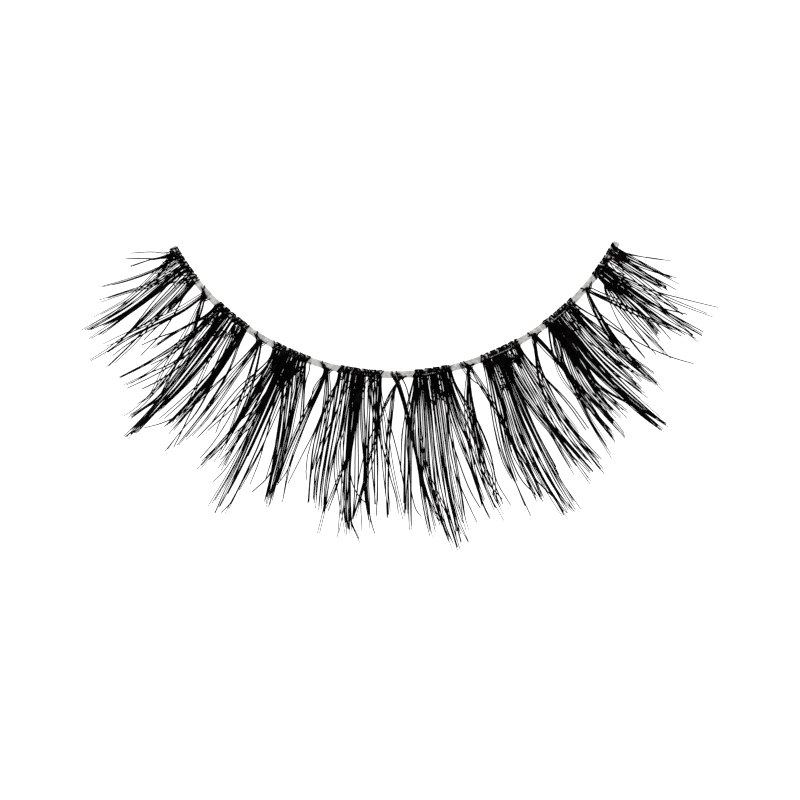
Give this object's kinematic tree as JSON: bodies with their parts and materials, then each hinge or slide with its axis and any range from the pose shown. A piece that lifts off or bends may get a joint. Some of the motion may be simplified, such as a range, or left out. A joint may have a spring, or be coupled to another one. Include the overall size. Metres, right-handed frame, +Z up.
{
  "type": "false eyelash strip",
  "caption": "Curved strip of false lashes: a clear band with wide knotted hair clusters and small tufts between them, tips curled up.",
  "frame": {"origin": "middle of the strip's footprint, on the surface that it lies on", "axes": "+X along the strip to its right end, +Y from the hair tips to the band's ends, +Z up, the way the tips curl"},
  "size_m": [0.039, 0.0192, 0.0042],
  "materials": {
    "clear_band": "clear, slightly milky, smooth",
    "lash_fibre": "black synthetic hair with a soft sheen"
  },
  "bodies": {
    "root": {"band": "clear_band", "lash_cluster_1": "lash_fibre", "lash_cluster_2": "lash_fibre", "lash_cluster_3": "lash_fibre", "lash_cluster_4": "lash_fibre", "lash_cluster_5": "lash_fibre", "lash_cluster_6": "lash_fibre", "lash_cluster_7": "lash_fibre", "lash_cluster_8": "lash_fibre", "accent_tuft_1": "lash_fibre", "accent_tuft_2": "lash_fibre", "accent_tuft_3": "lash_fibre", "accent_tuft_4": "lash_fibre", "accent_tuft_5": "lash_fibre", "accent_tuft_6": "lash_fibre", "accent_tuft_7": "lash_fibre"}
  },
  "joints": []
}
